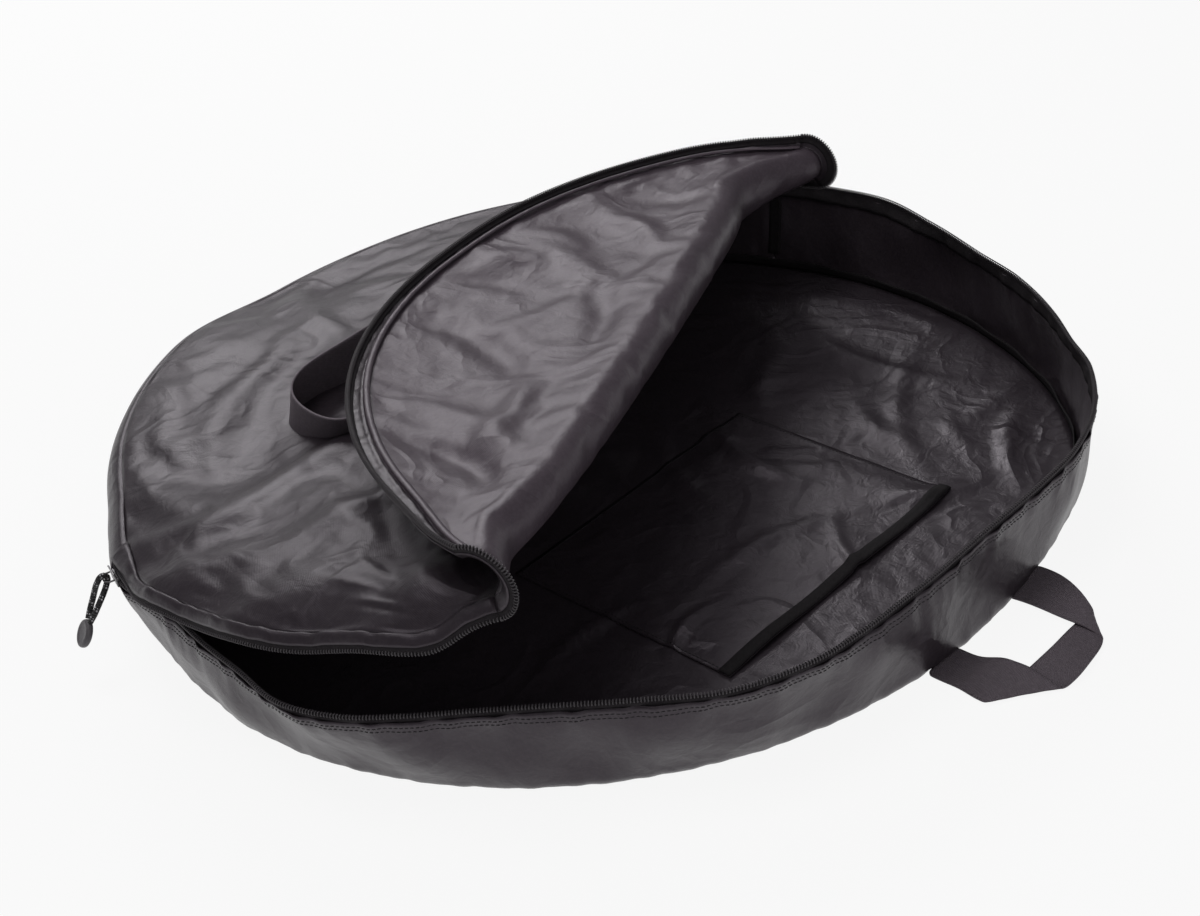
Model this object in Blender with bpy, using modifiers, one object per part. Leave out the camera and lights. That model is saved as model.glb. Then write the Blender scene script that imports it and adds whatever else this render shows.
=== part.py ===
# Round soft bag with a zipped lid, lying open on the floor.
# The lid is folded back over itself. Metres, +Z up, origin at the middle of the underside.
# The lid is drawn closed and flat, then two hinge empties carry it to where it lies.

import bpy
import math
from mathutils import Matrix, Vector

# Driving sizes of the bag
zip_radius = 0.360
zip_height = 0.076
floor_inset = 0.017
base_thick = 0.002
lid_inset = 0.020
lid_seam_height = 0.092
cloth_thick = 0.0012
seam_gap = 0.0005
wall_bulge = 0.0025

# Bearings round the rim, in degrees from +X, counter-clockwise
zip_start_deg = -157.6
zip_end_deg = 57.0
fold_front_deg = -98.0
fold_rear_deg = 42.5
base_handle_deg = -45.0
lid_handle_deg = -50.0
joint_gap_deg = 0.1
panel_end_deg = 0.3

# How the open lid lies
lid_tilt_deg = 11.0
fold_back_deg = 171.0
fold_radius = 0.014
bow_depth = 0.052
bow_peak_share = 0.84
bow_power = 1.5

# The rear wall sags where nothing holds it up
sag_height = 0.024
sag_inset = 0.007
sag_start_deg = 64.0
sag_full_deg = 88.0
sag_fade_deg = 130.0
sag_end_deg = 156.0
hinge_rise_shares = (0.33, 0.66, 1.0)
panel_shares = (0.0, 0.25, 0.5, 0.75, 1.0)
chord_inset_share = 0.012
chord_gap = 0.0015

# Zip
tape_thick = 0.0008
tape_width = 0.0125
tape_overlap = 0.0080
lid_tape_width = 0.0065
tape_under = 0.0004
band_stand = 0.0034
coil_height = 0.0026
coil_lift = 0.0060
coil_clear = 0.0004
coil_bend_gap = 0.0012
stop_length = 0.0035

# Slider and its pull
slider_length = 0.0140
slider_plate = 0.0012
slider_clear = 0.0007
slider_lip = 0.0010
slider_flare = 0.0008
slider_round = 0.0003
slider_start_deg = 2.0
bail_wire = 0.0007
bail_reach = 0.0066
bail_half = 0.0058
bail_shoulder_share = 0.6
bail_clear = 0.0003
cord_radius = 0.0021
pull_drop = 0.0316
pull_spread = 0.0051
pull_lean_deg = 33.0
toggle_radius = 0.0092
toggle_thick = 0.0050
toggle_long_share = 1.1
toggle_round = 0.0012

# Webbing handles
webbing_width = 0.038
webbing_thick = 0.0014
handle_span = 0.136
base_handle_reach = 0.077
lid_handle_reach = 0.082
handle_cross_share = 0.72
handle_corner = 0.034
base_handle_gap = 0.0008
lid_handle_gap = 0.0002
handle_tuck = 0.0020
handle_lift_deg = 33.0
floor_clear = 0.0003
weld_distance = 0.00001

# Seam bindings
binding_width = 0.008
binding_thick = 0.0010
side_seam_width = 0.011

# Pocket sewn flat on the floor
pocket_deg = -48.0
pocket_inset = 0.100
pocket_width = 0.249
pocket_depth = 0.200
pocket_thick = 0.0008
hem_width = 0.010

# Facets
arc_step_deg = 4.0
coil_step_deg = 2.5
coil_sides = 1
disc_sides = 96
fold_facets = 20
roll_facets = 8
toggle_sides = 32
cord_points = 34

# The cord runs from the toggle up one side, over the bail's far bar and down the other.
# Each row is the way across, the way out and the way down. The way across is a share of
# the spread, the way out is a share of the bend over the bar, and the way down is a share
# of the drop. A half circle over the bar joins the two legs.
cord_leg_shares = (
    (0.50, 0.0, 1.00), (0.68, 0.0, 0.91), (0.98, 0.0, 0.76), (1.06, 0.05, 0.60),
    (0.98, 0.25, 0.44), (0.74, 0.55, 0.30), (0.36, 0.88, 0.16), (0.08, 1.0, 0.06),
)

# Colour, roughness and metal of each finish
FINISHES = {
    "shell_nylon": ((0.055, 0.049, 0.053), 0.42, 0.0),
    "lining_nylon": ((0.075, 0.068, 0.073), 0.38, 0.0),
    "webbing": ((0.018, 0.016, 0.018), 0.85, 0.0),
    "zip_tape": ((0.025, 0.022, 0.025), 0.80, 0.0),
    "zip_coil": ((0.070, 0.065, 0.070), 0.35, 0.0),
    "zip_metal": ((0.080, 0.078, 0.080), 0.40, 0.9),
    "cord": ((0.020, 0.020, 0.022), 0.75, 0.0),
    "toggle_plastic": ((0.070, 0.064, 0.068), 0.45, 0.0),
}

UP = Vector((0.0, 0.0, 1.0))


# General helpers

def make_collection(name):
    group = bpy.data.collections.new(name)
    bpy.context.scene.collection.children.link(group)
    return group


def give_finish(piece, finish):
    """A Principled material of the piece's own, in one of the bag's finishes."""
    colour, rough, metal = FINISHES[finish]
    made = bpy.data.materials.new(finish + "." + piece.name)
    made.use_nodes = True
    shader = made.node_tree.nodes["Principled BSDF"]
    shader.inputs["Base Color"].default_value = (*colour, 1.0)
    shader.inputs["Roughness"].default_value = rough
    shader.inputs["Metallic"].default_value = metal
    piece.data.materials.append(made)


def add_piece(name, data, finish, hinge=None):
    """Link a piece with its material, and hang it on its hinge empty."""
    piece = bpy.data.objects.new(name, data)
    bag.objects.link(piece)
    give_finish(piece, finish)
    if hinge:
        piece.parent = hinge
        piece.matrix_parent_inverse = closed_frame[hinge.name].inverted()
    return piece


def add_cylinder(name, radius, depth, sides, finish, height=0.0):
    bpy.ops.mesh.primitive_cylinder_add(vertices=sides, radius=radius, depth=depth, location=(0.0, 0.0, height))
    piece = bpy.context.object
    piece.name = name
    for home in list(piece.users_collection):
        home.objects.unlink(piece)
    bag.objects.link(piece)
    give_finish(piece, finish)
    return piece


def spot(radius, degrees, height):
    """A point by its distance from the bag's middle, its bearing and its height."""
    turn = math.radians(degrees)
    return Vector((radius * math.cos(turn), radius * math.sin(turn), height))


def tangent(degrees):
    """The level direction along the rim at a bearing, counter-clockwise."""
    turn = math.radians(degrees)
    return Vector((-math.sin(turn), math.cos(turn), 0.0))


def axes(x_way, y_way, place):
    """A frame from its X and Y directions and its place."""
    frame = Matrix((x_way, y_way, x_way.cross(y_way))).transposed().to_4x4()
    frame.translation = place
    return frame


def steps(start, end, step):
    count = max(2, math.ceil(abs(end - start) / step) + 1)
    return [start + (end - start) * i / (count - 1) for i in range(count)]


def arc_points(radius, start, end, height, step):
    return [spot(radius, a, height) for a in steps(start, end, step)]


def ease(low, high, value):
    """Rises smoothly from 0 at low to 1 at high."""
    share = min(1.0, max(0.0, (value - low) / (high - low)))
    return share * share * (3.0 - 2.0 * share)


def cloth(name, rows, finish, thick, hinge=None, closed=False):
    """A sheet through rows of points, given its thickness by Solidify."""
    width = len(rows[0])
    points = [tuple(point) for row in rows for point in row]
    faces = []
    for i in range(len(rows) if closed else len(rows) - 1):
        here = i * width
        there = ((i + 1) % len(rows)) * width
        faces += [(here + j, there + j, there + j + 1, here + j + 1) for j in range(width - 1)]
    mesh = bpy.data.meshes.new(name)
    mesh.from_pydata(points, [], faces)
    mesh.shade_smooth()
    piece = add_piece(name, mesh, finish, hinge)
    shell = piece.modifiers.new("thickness", "SOLIDIFY")
    shell.thickness = thick
    shell.offset = 0.0
    shell.use_even_offset = True
    return piece


def ring_strip(name, start, end, profile, finish, thick, hinge=None):
    """A strip along part of the rim, with the same profile all the way."""
    rows = [[spot(r, a, h) for r, h in profile] for a in steps(start, end, arc_step_deg)]
    return cloth(name, rows, finish, thick, hinge)


def flat_piece(name, points, thick, finish, hinge=None):
    """A flat piece from its outline, with its middle plane at the piece's own origin."""
    curve = bpy.data.curves.new(name, "CURVE")
    curve.dimensions = "2D"
    curve.fill_mode = "BOTH"
    curve.extrude = thick / 2.0
    line = curve.splines.new("POLY")
    line.points.add(len(points) - 1)
    for target, point in zip(line.points, points):
        target.co = (point[0], point[1], 0.0, 1.0)
    line.use_cyclic_u = True
    return add_piece(name, curve, finish, hinge)


def tube(name, points, radius, finish, hinge=None, rounds=2):
    """A round cord or wire along its points, with filled caps."""
    curve = bpy.data.curves.new(name, "CURVE")
    curve.dimensions = "3D"
    curve.bevel_depth = radius
    curve.bevel_resolution = rounds
    curve.use_fill_caps = True
    line = curve.splines.new("POLY")
    line.points.add(len(points) - 1)
    for target, point in zip(line.points, points):
        target.co = (*point, 1.0)
    return add_piece(name, curve, finish, hinge)


def smooth_line(route, count):
    """Points along a smooth curve through the points of a route."""
    points = []
    last = len(route) - 1
    for i in range(count):
        where = last * i / (count - 1)
        k = min(last - 1, int(where))
        t = where - k
        p0, p1 = route[max(0, k - 1)], route[k]
        p2, p3 = route[k + 1], route[min(last, k + 2)]
        rise = (p2 - p0) * t + (2.0 * p0 - 5.0 * p1 + 4.0 * p2 - p3) * t * t
        points.append(p1 + 0.5 * (rise + (3.0 * p1 - p0 - 3.0 * p2 + p3) * t * t * t))
    return points


# Sizes that follow from the driving sizes
base_radius = zip_radius - floor_inset
lid_seam_radius = zip_radius - lid_inset
pocket_mouth = base_radius - pocket_inset
tape_inset = cloth_thick / 2.0 + seam_gap + tape_thick / 2.0
coil_radius = coil_height / 2.0
tape_top = zip_height - coil_radius - coil_clear
gusset_top = tape_top - (tape_width - tape_overlap)
slider_depth = coil_radius + slider_clear * 2.0 + slider_lip
lid_coil_height = zip_height + coil_lift
foot_height = base_thick + seam_gap + cloth_thick / 4.0
stop_deg = math.degrees(stop_length / zip_radius)
seam_step = cloth_thick / 2.0
band_in = (lid_seam_radius + seam_step, lid_seam_height - seam_step)
band_out = (zip_radius, lid_coil_height + coil_radius + band_stand)
lid_tape_out = (zip_radius, lid_coil_height + coil_radius + coil_clear + tape_thick / 2.0)
lid_tape_in = (zip_radius - lid_tape_width, band_out[1] + tape_under)


def wall_radius(height):
    """Radius of the wall's middle surface, which leans out to the zip and bellies a little."""
    share = height / zip_height
    foot = base_radius - cloth_thick
    lean = foot + (zip_radius + tape_inset - foot) * share
    return lean + wall_bulge * math.sin(math.pi * share)


def sag(degrees):
    """How far the rear wall has sunk at a bearing, from 0 to 1."""
    bearing = degrees % 360.0
    return ease(sag_start_deg, sag_full_deg, bearing) * (1.0 - ease(sag_fade_deg, sag_end_deg, bearing))


def rear_seam(degrees):
    """The seam between the hinge gusset and the lid, round the back."""
    drop = sag(degrees)
    return spot(lid_seam_radius - sag_inset * drop, degrees, lid_seam_height - sag_height * drop)


# The two hinge lines of the lid, with the lid closed
def hinge_empty(name, start, end, degrees, hinge=None):
    """An empty on a hinge line, its X along the line, turned from closed to open."""
    along = (end - start).normalized()
    frame = axes(along, UP.cross(along).normalized(), start)
    empty = bpy.data.objects.new(name, None)
    guides.objects.link(empty)
    closed_frame[name] = frame
    if hinge:
        empty.parent = hinge
        empty.matrix_parent_inverse = closed_frame[hinge.name].inverted()
    empty.matrix_basis = frame @ Matrix.Rotation(math.radians(degrees), 4, "X")
    return empty


def opened(point, hinge):
    """Carry a point of the closed lid through one hinge."""
    return hinge.matrix_basis @ closed_frame[hinge.name].inverted() @ Vector(point)


def print_hinge(name, place, along, *hinges):
    """Say where a joint's axis lies in the open bag."""
    ends = [Vector(place), Vector(place) + along]
    for hinge in hinges:
        ends = [opened(end, hinge) for end in ends]
    print(name, [round(v, 5) for v in ends[0]], [round(v, 6) for v in (ends[1] - ends[0]).normalized()])


for thing in list(bpy.data.objects):
    bpy.data.objects.remove(thing, do_unlink=True)
bag = make_collection("wheel_bag")
guides = make_collection("hinge_guides")
closed_frame = {}

chord_start = spot(lid_seam_radius, zip_start_deg, lid_seam_height)
chord_end = spot(lid_seam_radius, zip_end_deg, lid_seam_height)
chord_way = (chord_start - chord_end).normalized()
chord_back = UP.cross(chord_way) * -1.0
fold_start = spot(lid_seam_radius, fold_front_deg, lid_seam_height)
fold_end = spot(lid_seam_radius, fold_rear_deg, lid_seam_height)
fold_way = (fold_start - fold_end).normalized()
fold_side = UP.cross(fold_way)
fold_lift = UP * fold_radius

lid_hinge = hinge_empty("lid_hinge", chord_end, chord_start, lid_tilt_deg)
flap_hinge = hinge_empty("flap_hinge", fold_end + fold_lift, fold_start + fold_lift, fold_back_deg, lid_hinge)
print_hinge("lid_lift", chord_end, chord_way)
print_hinge("flap_fold", fold_end + fold_lift, fold_way, lid_hinge)


# Floor, walls and their seams

def make_base():
    """Floor panel and the two gussets that stand on its edge."""
    add_cylinder("base_panel", base_radius, base_thick, disc_sides, "shell_nylon", base_thick / 2.0)

    rise = gusset_top - foot_height
    profile = [(wall_radius(foot_height + rise * i / 4.0), foot_height + rise * i / 4.0) for i in range(5)]
    start = zip_start_deg + joint_gap_deg
    ring_strip("front_gusset", start, zip_end_deg - joint_gap_deg, profile, "shell_nylon", cloth_thick)

    rows = []
    for a in steps(zip_end_deg + joint_gap_deg, 360.0 + zip_start_deg - joint_gap_deg, arc_step_deg):
        drop = sag(a)
        seam = rear_seam(a)
        tall = seam.z / lid_seam_height
        shape = [spot(wall_radius(foot_height), a, foot_height)]
        for share in hinge_rise_shares:
            h = zip_height * share
            shape.append(spot(wall_radius(h) - sag_inset * drop * share, a, h * tall))
        shape.append(spot(seam.xy.length + seam_step, a, seam.z - seam_step))
        rows.append(shape)
    cloth("hinge_gusset", rows, "shell_nylon", cloth_thick)


def make_bindings():
    """The tape that binds the floor seam, and the two upright seams at the ends of the zip."""
    radius = base_radius - cloth_thick * 2.0 - seam_gap - binding_thick / 2.0
    low = base_thick + seam_gap
    rows = []
    for a in steps(0.0, 360.0, arc_step_deg)[:-1]:
        rows.append([spot(radius, a, low), spot(radius, a, low + binding_width)])
    cloth("floor_seam_binding", rows, "webbing", binding_thick, closed=True)

    half = math.degrees(side_seam_width / 2.0 / zip_radius)
    low += binding_width + seam_gap + binding_thick
    high = tape_top - tape_width - seam_gap - tape_thick
    inset = cloth_thick / 2.0 + seam_gap + binding_thick / 2.0
    profile = [(wall_radius(h) - inset, h) for h in (low, (low + high) / 2.0, high)]
    for name, a in (("left_side_seam", zip_start_deg), ("right_side_seam", zip_end_deg)):
        ring_strip(name, a - half, a + half, profile, "webbing", binding_thick)


def make_floor_pocket():
    """A flat pocket on the floor with a folded hem at its mouth, towards the handles."""
    frame = axes(spot(1.0, pocket_deg, 0.0), tangent(pocket_deg), Vector())
    level = base_thick + seam_gap + pocket_thick / 2.0
    layers = (("floor_pocket", pocket_depth, level, "lining_nylon"),
              ("pocket_hem", hem_width, level + pocket_thick + coil_clear, "webbing"))
    for name, depth, height, finish in layers:
        half = pocket_width / 2.0
        far = pocket_mouth - depth
        corners = [(pocket_mouth, half), (pocket_mouth, -half), (far, -half), (far, half)]
        piece = flat_piece(name, corners, pocket_thick, finish)
        piece.matrix_basis = Matrix.Translation(UP * height) @ frame


def make_base_zip():
    """Tape, coil and the two stops along the top of the front gusset."""
    start = zip_start_deg + joint_gap_deg
    end = zip_end_deg - joint_gap_deg
    profile = [(wall_radius(h) - tape_inset, h) for h in (tape_top - tape_width, gusset_top)]
    profile += [(zip_radius, zip_height - slider_depth), (zip_radius, tape_top)]
    ring_strip("base_zip_tape", start, end, profile, "zip_tape", tape_thick)

    coil_start = start + 2.0 * joint_gap_deg + stop_deg
    coil_end = end - 2.0 * joint_gap_deg - stop_deg
    line = arc_points(zip_radius, coil_start, coil_end, zip_height, coil_step_deg)
    tube("base_zip_coil", line, coil_radius, "zip_coil", rounds=coil_sides)
    for name, a in (("bottom_zip_stop", start + joint_gap_deg), ("top_zip_stop", coil_end + joint_gap_deg)):
        ends = [spot(zip_radius, a, zip_height), spot(zip_radius, a + stop_deg, zip_height)]
        tube(name, ends, coil_radius + coil_clear / 2.0, "zip_metal", rounds=coil_sides)


# The lid: one cloth that creases at the chord and turns back at the fold

def bow(share):
    """How far the folded edge bows back from the straight hinge line."""
    if share < bow_peak_share:
        return bow_depth * (share / bow_peak_share) ** bow_power
    return bow_depth * ease(0.0, 1.0 - bow_peak_share, 1.0 - share)


def fold_edge(share, side):
    """A point of the folded edge in the closed lid: side -1 on the lid, +1 on the flap."""
    away = side * (bow(share) + seam_gap)
    return fold_start.lerp(fold_end, share) + fold_side * away


def fold_line(side):
    shares = [i / fold_facets for i in range(1, fold_facets)]
    return [fold_edge(share, side) for share in shares]


def make_lid_panels():
    """The three stretches of the lid's cloth."""
    rows = []
    bearings = steps(zip_end_deg + panel_end_deg, 360.0 + zip_start_deg - panel_end_deg, arc_step_deg)
    for i, a in enumerate(bearings):
        share = chord_inset_share + (1.0 - 2.0 * chord_inset_share) * i / (len(bearings) - 1)
        near = chord_end.lerp(chord_start, share) + chord_back * chord_gap
        seam = rear_seam(a)
        row = []
        for part in panel_shares:
            point = near.lerp(seam, part)
            point.z = near.z + (seam.z - near.z) * ease(0.0, 1.0, part)
            row.append(point)
        rows.append(row)
    cloth("lid_panel_rear", rows, "shell_nylon", cloth_thick)

    radius = lid_seam_radius
    front = arc_points(radius, zip_start_deg + panel_end_deg, fold_front_deg - joint_gap_deg, 0.0, arc_step_deg)
    front += fold_line(-1.0)
    front += arc_points(radius, fold_rear_deg + joint_gap_deg, zip_end_deg - panel_end_deg, 0.0, arc_step_deg)
    panel = flat_piece("lid_panel_front", front, cloth_thick, "shell_nylon", lid_hinge)
    panel.location = UP * lid_seam_height

    flap = arc_points(radius, fold_front_deg + joint_gap_deg, fold_rear_deg - joint_gap_deg, 0.0, arc_step_deg)
    flap += reversed(fold_line(1.0))
    panel = flat_piece("flap_panel", flap, cloth_thick, "lining_nylon", flap_hinge)
    panel.location = UP * lid_seam_height


def make_lid_edges():
    """Gusset band, tape, coil and seam binding along each stretch of the lid's edge."""
    first = zip_start_deg + joint_gap_deg
    last = zip_end_deg - joint_gap_deg
    stop_skip = stop_deg + 2.0 * joint_gap_deg
    under = lid_seam_height - cloth_thick / 2.0 - seam_gap - binding_thick / 2.0
    stretches = (
        ("lid", lid_hinge, first, fold_front_deg - joint_gap_deg, stop_skip, 0.0),
        ("flap", flap_hinge, fold_front_deg + joint_gap_deg, fold_rear_deg - joint_gap_deg, 0.0, 0.0),
        ("lid_end", lid_hinge, fold_rear_deg + joint_gap_deg, last, 0.0, stop_skip),
    )
    for name, hinge, start, end, start_skip, end_skip in stretches:
        ring_strip(name + "_gusset", start, end, [band_in, band_out], "shell_nylon", cloth_thick, hinge)
        tape = [lid_tape_in, lid_tape_out]
        ring_strip(name + "_zip_tape", start, end, tape, "zip_tape", tape_thick, hinge)
        line = arc_points(zip_radius, start + start_skip, end - end_skip, lid_coil_height, coil_step_deg)
        tube(name + "_zip_coil", line, coil_radius, "zip_coil", hinge, coil_sides)
        edge = lid_seam_radius - cloth_thick
        binding = [(edge - binding_width, under), (edge, under)]
        inset = 2.0 * panel_end_deg + math.degrees(binding_width / lid_seam_radius)
        ring_strip(name + "_seam_binding", start + inset, end - inset, binding, "webbing", binding_thick, hinge)


def half_turn(low, high, outward, gap):
    """Points of a half circle from low to high that bulges outward, open by a gap at both ends."""
    middle = (low + high) / 2.0
    arm = low - middle
    out = outward - arm * (outward.dot(arm) / arm.length_squared)
    out = out.normalized() * arm.length
    skip = math.asin(gap / arm.length)
    points = []
    for i in range(roll_facets + 1):
        turn = skip + (math.pi - 2.0 * skip) * i / roll_facets
        points.append(middle + arm * math.cos(turn) + out * math.sin(turn))
    return points


def make_fold():
    """The soft roll where the lid turns back, and the bend of its gusset and zip at each end."""
    rows = []
    for i in range(fold_facets + 1):
        share = i / fold_facets
        high = opened(fold_edge(share, 1.0), flap_hinge)
        rows.append(half_turn(fold_edge(share, -1.0), high, fold_side, seam_gap))
    cloth("fold_roll", rows, "lining_nylon", cloth_thick, lid_hinge)

    for name, bearing, side in (("front", fold_front_deg, -1.0), ("rear", fold_rear_deg, 1.0)):
        lid_deg = bearing + side * joint_gap_deg
        flap_deg = bearing - side * joint_gap_deg
        rows = []
        for radius, height in (band_in, band_out):
            high = opened(spot(radius, flap_deg, height), flap_hinge)
            rows.append(half_turn(spot(radius, lid_deg, height), high, fold_side, seam_gap))
        cloth(name + "_fold_gusset", rows, "shell_nylon", cloth_thick, lid_hinge)
        low = spot(zip_radius, lid_deg, lid_coil_height)
        high = opened(spot(zip_radius, flap_deg, lid_coil_height), flap_hinge)
        bend = half_turn(low, high, fold_side, coil_bend_gap)
        tube(name + "_fold_zip", bend, coil_radius, "zip_coil", lid_hinge, coil_sides)


# Slider, pull and handles

def make_slider(bearing):
    """The slider body, open above so that the lid's row can drop into it, and its bail."""
    out = spot(1.0, bearing, 0.0)
    frame = axes(out, UP, spot(zip_radius, bearing, zip_height))
    inside = coil_radius + slider_clear
    outside = inside + slider_plate
    slot = tape_thick / 2.0 + slider_clear
    channel = coil_radius + slider_clear
    bridge = coil_lift - channel
    top = coil_lift + channel
    right = [(slot, -channel - slider_lip), (outside, -channel - slider_lip), (outside, bridge),
             (outside + slider_flare, top), (inside + slider_flare, top), (inside, bridge)]
    under = [(inside, channel), (inside, -channel), (slot, -channel)]
    profile = right + [(-x, y) for x, y in reversed(right)]
    profile += [(-x, y) for x, y in reversed(under)] + under
    body = flat_piece("zip_slider", profile, slider_length, "zip_metal")
    weld = body.modifiers.new("weld", "WELD")
    weld.merge_threshold = weld_distance
    bevel = body.modifiers.new("round", "BEVEL")
    bevel.width = slider_round
    bevel.segments = 1
    body.matrix_basis = frame

    foot = outside + bail_clear
    level = (top - channel) / 2.0
    near = foot + bail_reach * bail_shoulder_share
    far = foot + bail_reach
    half = bail_half * bail_shoulder_share
    shape = [(foot, -bail_half), (near, -bail_half), (far, -half), (far, half), (near, bail_half), (foot, bail_half)]
    wire = tube("slider_bail", [Vector((x, level, z)) for x, z in shape], bail_wire, "zip_metal")
    wire.matrix_basis = frame
    return frame @ Vector((far, level, 0.0))


def make_pull(bearing, bar):
    """The cord doubled over the bail's far bar, and the oval toggle on its ends."""
    lean = math.radians(pull_lean_deg)
    out = spot(1.0, bearing, 0.0)
    down = out * math.sin(lean) - UP * math.cos(lean)
    across = tangent(bearing)
    away = across.cross(down)
    bend = bail_wire + bail_clear + cord_radius
    legs = []
    for side in (-1.0, 1.0):
        leg = []
        for across_share, out_share, drop_share in cord_leg_shares:
            shift = across * pull_spread * across_share + away * bend * out_share
            leg.append(bar + down * pull_drop * drop_share + shift * side)
        legs.append(leg)
    arch = []
    for i in range(5):
        turn = math.pi * i / 4.0
        arch.append(bar - (away * math.cos(turn) + down * math.sin(turn)) * bend)
    tube("pull_cord", smooth_line(legs[0] + arch + legs[1][::-1], cord_points), cord_radius, "cord")

    toggle = add_cylinder("pull_toggle", toggle_radius, toggle_thick, toggle_sides, "toggle_plastic")
    for vertex in toggle.data.vertices:
        vertex.co.x *= toggle_long_share
    bevel = toggle.modifiers.new("round", "BEVEL")
    bevel.width = toggle_round
    bevel.segments = 2
    bevel.limit_method = "ANGLE"
    middle = bar + down * (pull_drop + bail_clear + toggle_radius * toggle_long_share)
    toggle.matrix_basis = axes(down, across, middle)
    print_hinge("pull_swing", bar, across * -1.0)


def make_handle(name, bearing, seam_radius, gap, height, reach, lift_deg, hinge=None):
    """A loop of flat webbing, its origin on the line where it is sewn on."""
    outer = handle_span / 2.0
    inner = outer - webbing_width
    rim = math.sqrt(seam_radius * seam_radius - inner * inner)
    cross = reach - webbing_width * handle_cross_share
    right = [(inner, 0.0), (outer, -handle_tuck), (outer, reach - handle_corner), (outer - handle_corner, reach)]
    shape = right + [(-x, y) for x, y in reversed(right)] + [(-inner, cross), (inner, cross)]
    loop = flat_piece(name, shape, webbing_thick, "webbing", hinge)
    place = spot(rim + gap, bearing, height)
    frame = axes(tangent(bearing), spot(1.0, bearing, 0.0), place)
    loop.matrix_basis = frame @ Matrix.Rotation(-math.radians(lift_deg), 4, "X")
    return place


make_base()
make_bindings()
make_floor_pocket()
make_base_zip()
make_lid_panels()
make_lid_edges()
make_fold()

slider_deg = zip_start_deg + slider_start_deg
bail_bar = make_slider(slider_deg)
make_pull(slider_deg, bail_bar)

level = floor_clear + webbing_thick / 2.0
sewn = make_handle("base_handle", base_handle_deg, base_radius, base_handle_gap, level, base_handle_reach, 0.0)
print_hinge("base_handle_swing", sewn, tangent(base_handle_deg) * -1.0)
level = lid_seam_height + (cloth_thick + webbing_thick) / 2.0 + floor_clear
sewn = make_handle("lid_handle", lid_handle_deg, lid_seam_radius, lid_handle_gap, level, lid_handle_reach,
                   handle_lift_deg, flap_hinge)
print_hinge("lid_handle_swing", sewn, tangent(lid_handle_deg) * -1.0, flap_hinge, lid_hinge)
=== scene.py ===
# %% [markdown]
# # A round soft bag, lying open on the floor
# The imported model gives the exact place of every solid. Each cell here adds one
# detailed piece on top of it: cloth, webbing, zip, cord, and what they are made of.

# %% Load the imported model
import bpy
import bmesh
import random
import numpy as np
from math import asin, cos, exp, pi, radians, sin, sqrt
from mathutils import Matrix, Vector


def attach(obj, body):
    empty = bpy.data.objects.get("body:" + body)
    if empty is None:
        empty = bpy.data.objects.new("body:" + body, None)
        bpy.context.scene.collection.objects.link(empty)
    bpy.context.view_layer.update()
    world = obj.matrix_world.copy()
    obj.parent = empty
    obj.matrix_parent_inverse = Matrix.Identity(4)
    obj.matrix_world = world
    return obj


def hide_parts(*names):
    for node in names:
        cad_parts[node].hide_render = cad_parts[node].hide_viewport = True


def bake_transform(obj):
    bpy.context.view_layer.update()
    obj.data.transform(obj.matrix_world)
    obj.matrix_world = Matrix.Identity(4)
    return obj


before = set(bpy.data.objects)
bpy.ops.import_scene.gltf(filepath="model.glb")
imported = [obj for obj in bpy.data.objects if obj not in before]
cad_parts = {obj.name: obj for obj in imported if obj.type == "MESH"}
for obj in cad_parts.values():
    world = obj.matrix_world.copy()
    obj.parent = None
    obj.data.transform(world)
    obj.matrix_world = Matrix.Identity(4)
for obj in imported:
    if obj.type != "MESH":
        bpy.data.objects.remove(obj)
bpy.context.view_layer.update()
UP = Vector((0, 0, 1))
FULL_TURN = 2 * pi

# %% [markdown]
# The camera stands in front of the bag, looks down at it and leans a little to one
# side. Its place was fitted to the outline of the bag in the photograph, once, and it
# is kept as plain numbers, because every later step is judged through it.

# %% Camera
camera_data = bpy.data.cameras.new("photo_camera")
camera_data.sensor_fit = "HORIZONTAL"
camera_data.angle = radians(34)
camera_data.clip_start = 0.01
camera = bpy.data.objects.new("photo_camera", camera_data)
bpy.context.scene.collection.objects.link(camera)
tilt, roll = radians(33.14), radians(-8.72)
forward = Vector((0, cos(tilt), -sin(tilt)))
level = Vector((1, 0, 0))
rise = level.cross(forward)
camera_x = cos(roll) * level + sin(roll) * rise
camera_y = cos(roll) * rise - sin(roll) * level
camera.matrix_world = Matrix((camera_x, camera_y, -forward)).transposed().to_4x4()
camera.location = (0.00815, -1.24962, 0.83136)
bpy.context.scene.camera = camera
print("camera at", [round(v, 3) for v in camera.location])

# %% [markdown]
# The bag's sizes are the ones of the CAD model. Its lid is drawn closed and flat,
# and two turns carry it to where it lies: one about the crease behind the zip,
# and one that folds its front half back. Working in the closed lid keeps every
# seam a plain circle, which is far easier to think about than the folded shape.

# %% Sizes of the bag and the two turns of its lid
zip_radius, zip_height = 0.360, 0.076
seam_radius, seam_height = 0.340, 0.092
base_radius = 0.343
zip_start, zip_end = -157.6, 57
fold_front, fold_rear = -98, 42.5
fold_radius = 0.014
lid_lift, flap_fold = 11, 171


def spot(radius, bearing, height):
    """A point by its distance from the bag's middle, its bearing and its height."""
    turn = radians(bearing)
    return Vector((radius * cos(turn), radius * sin(turn), height))


def tangent(bearing):
    turn = radians(bearing)
    return Vector((-sin(turn), cos(turn), 0))


def turning(place, way, angle):
    """A turn about a line in space."""
    there = Matrix.Translation(place)
    return there @ Matrix.Rotation(radians(angle), 4, way) @ there.inverted()


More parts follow.
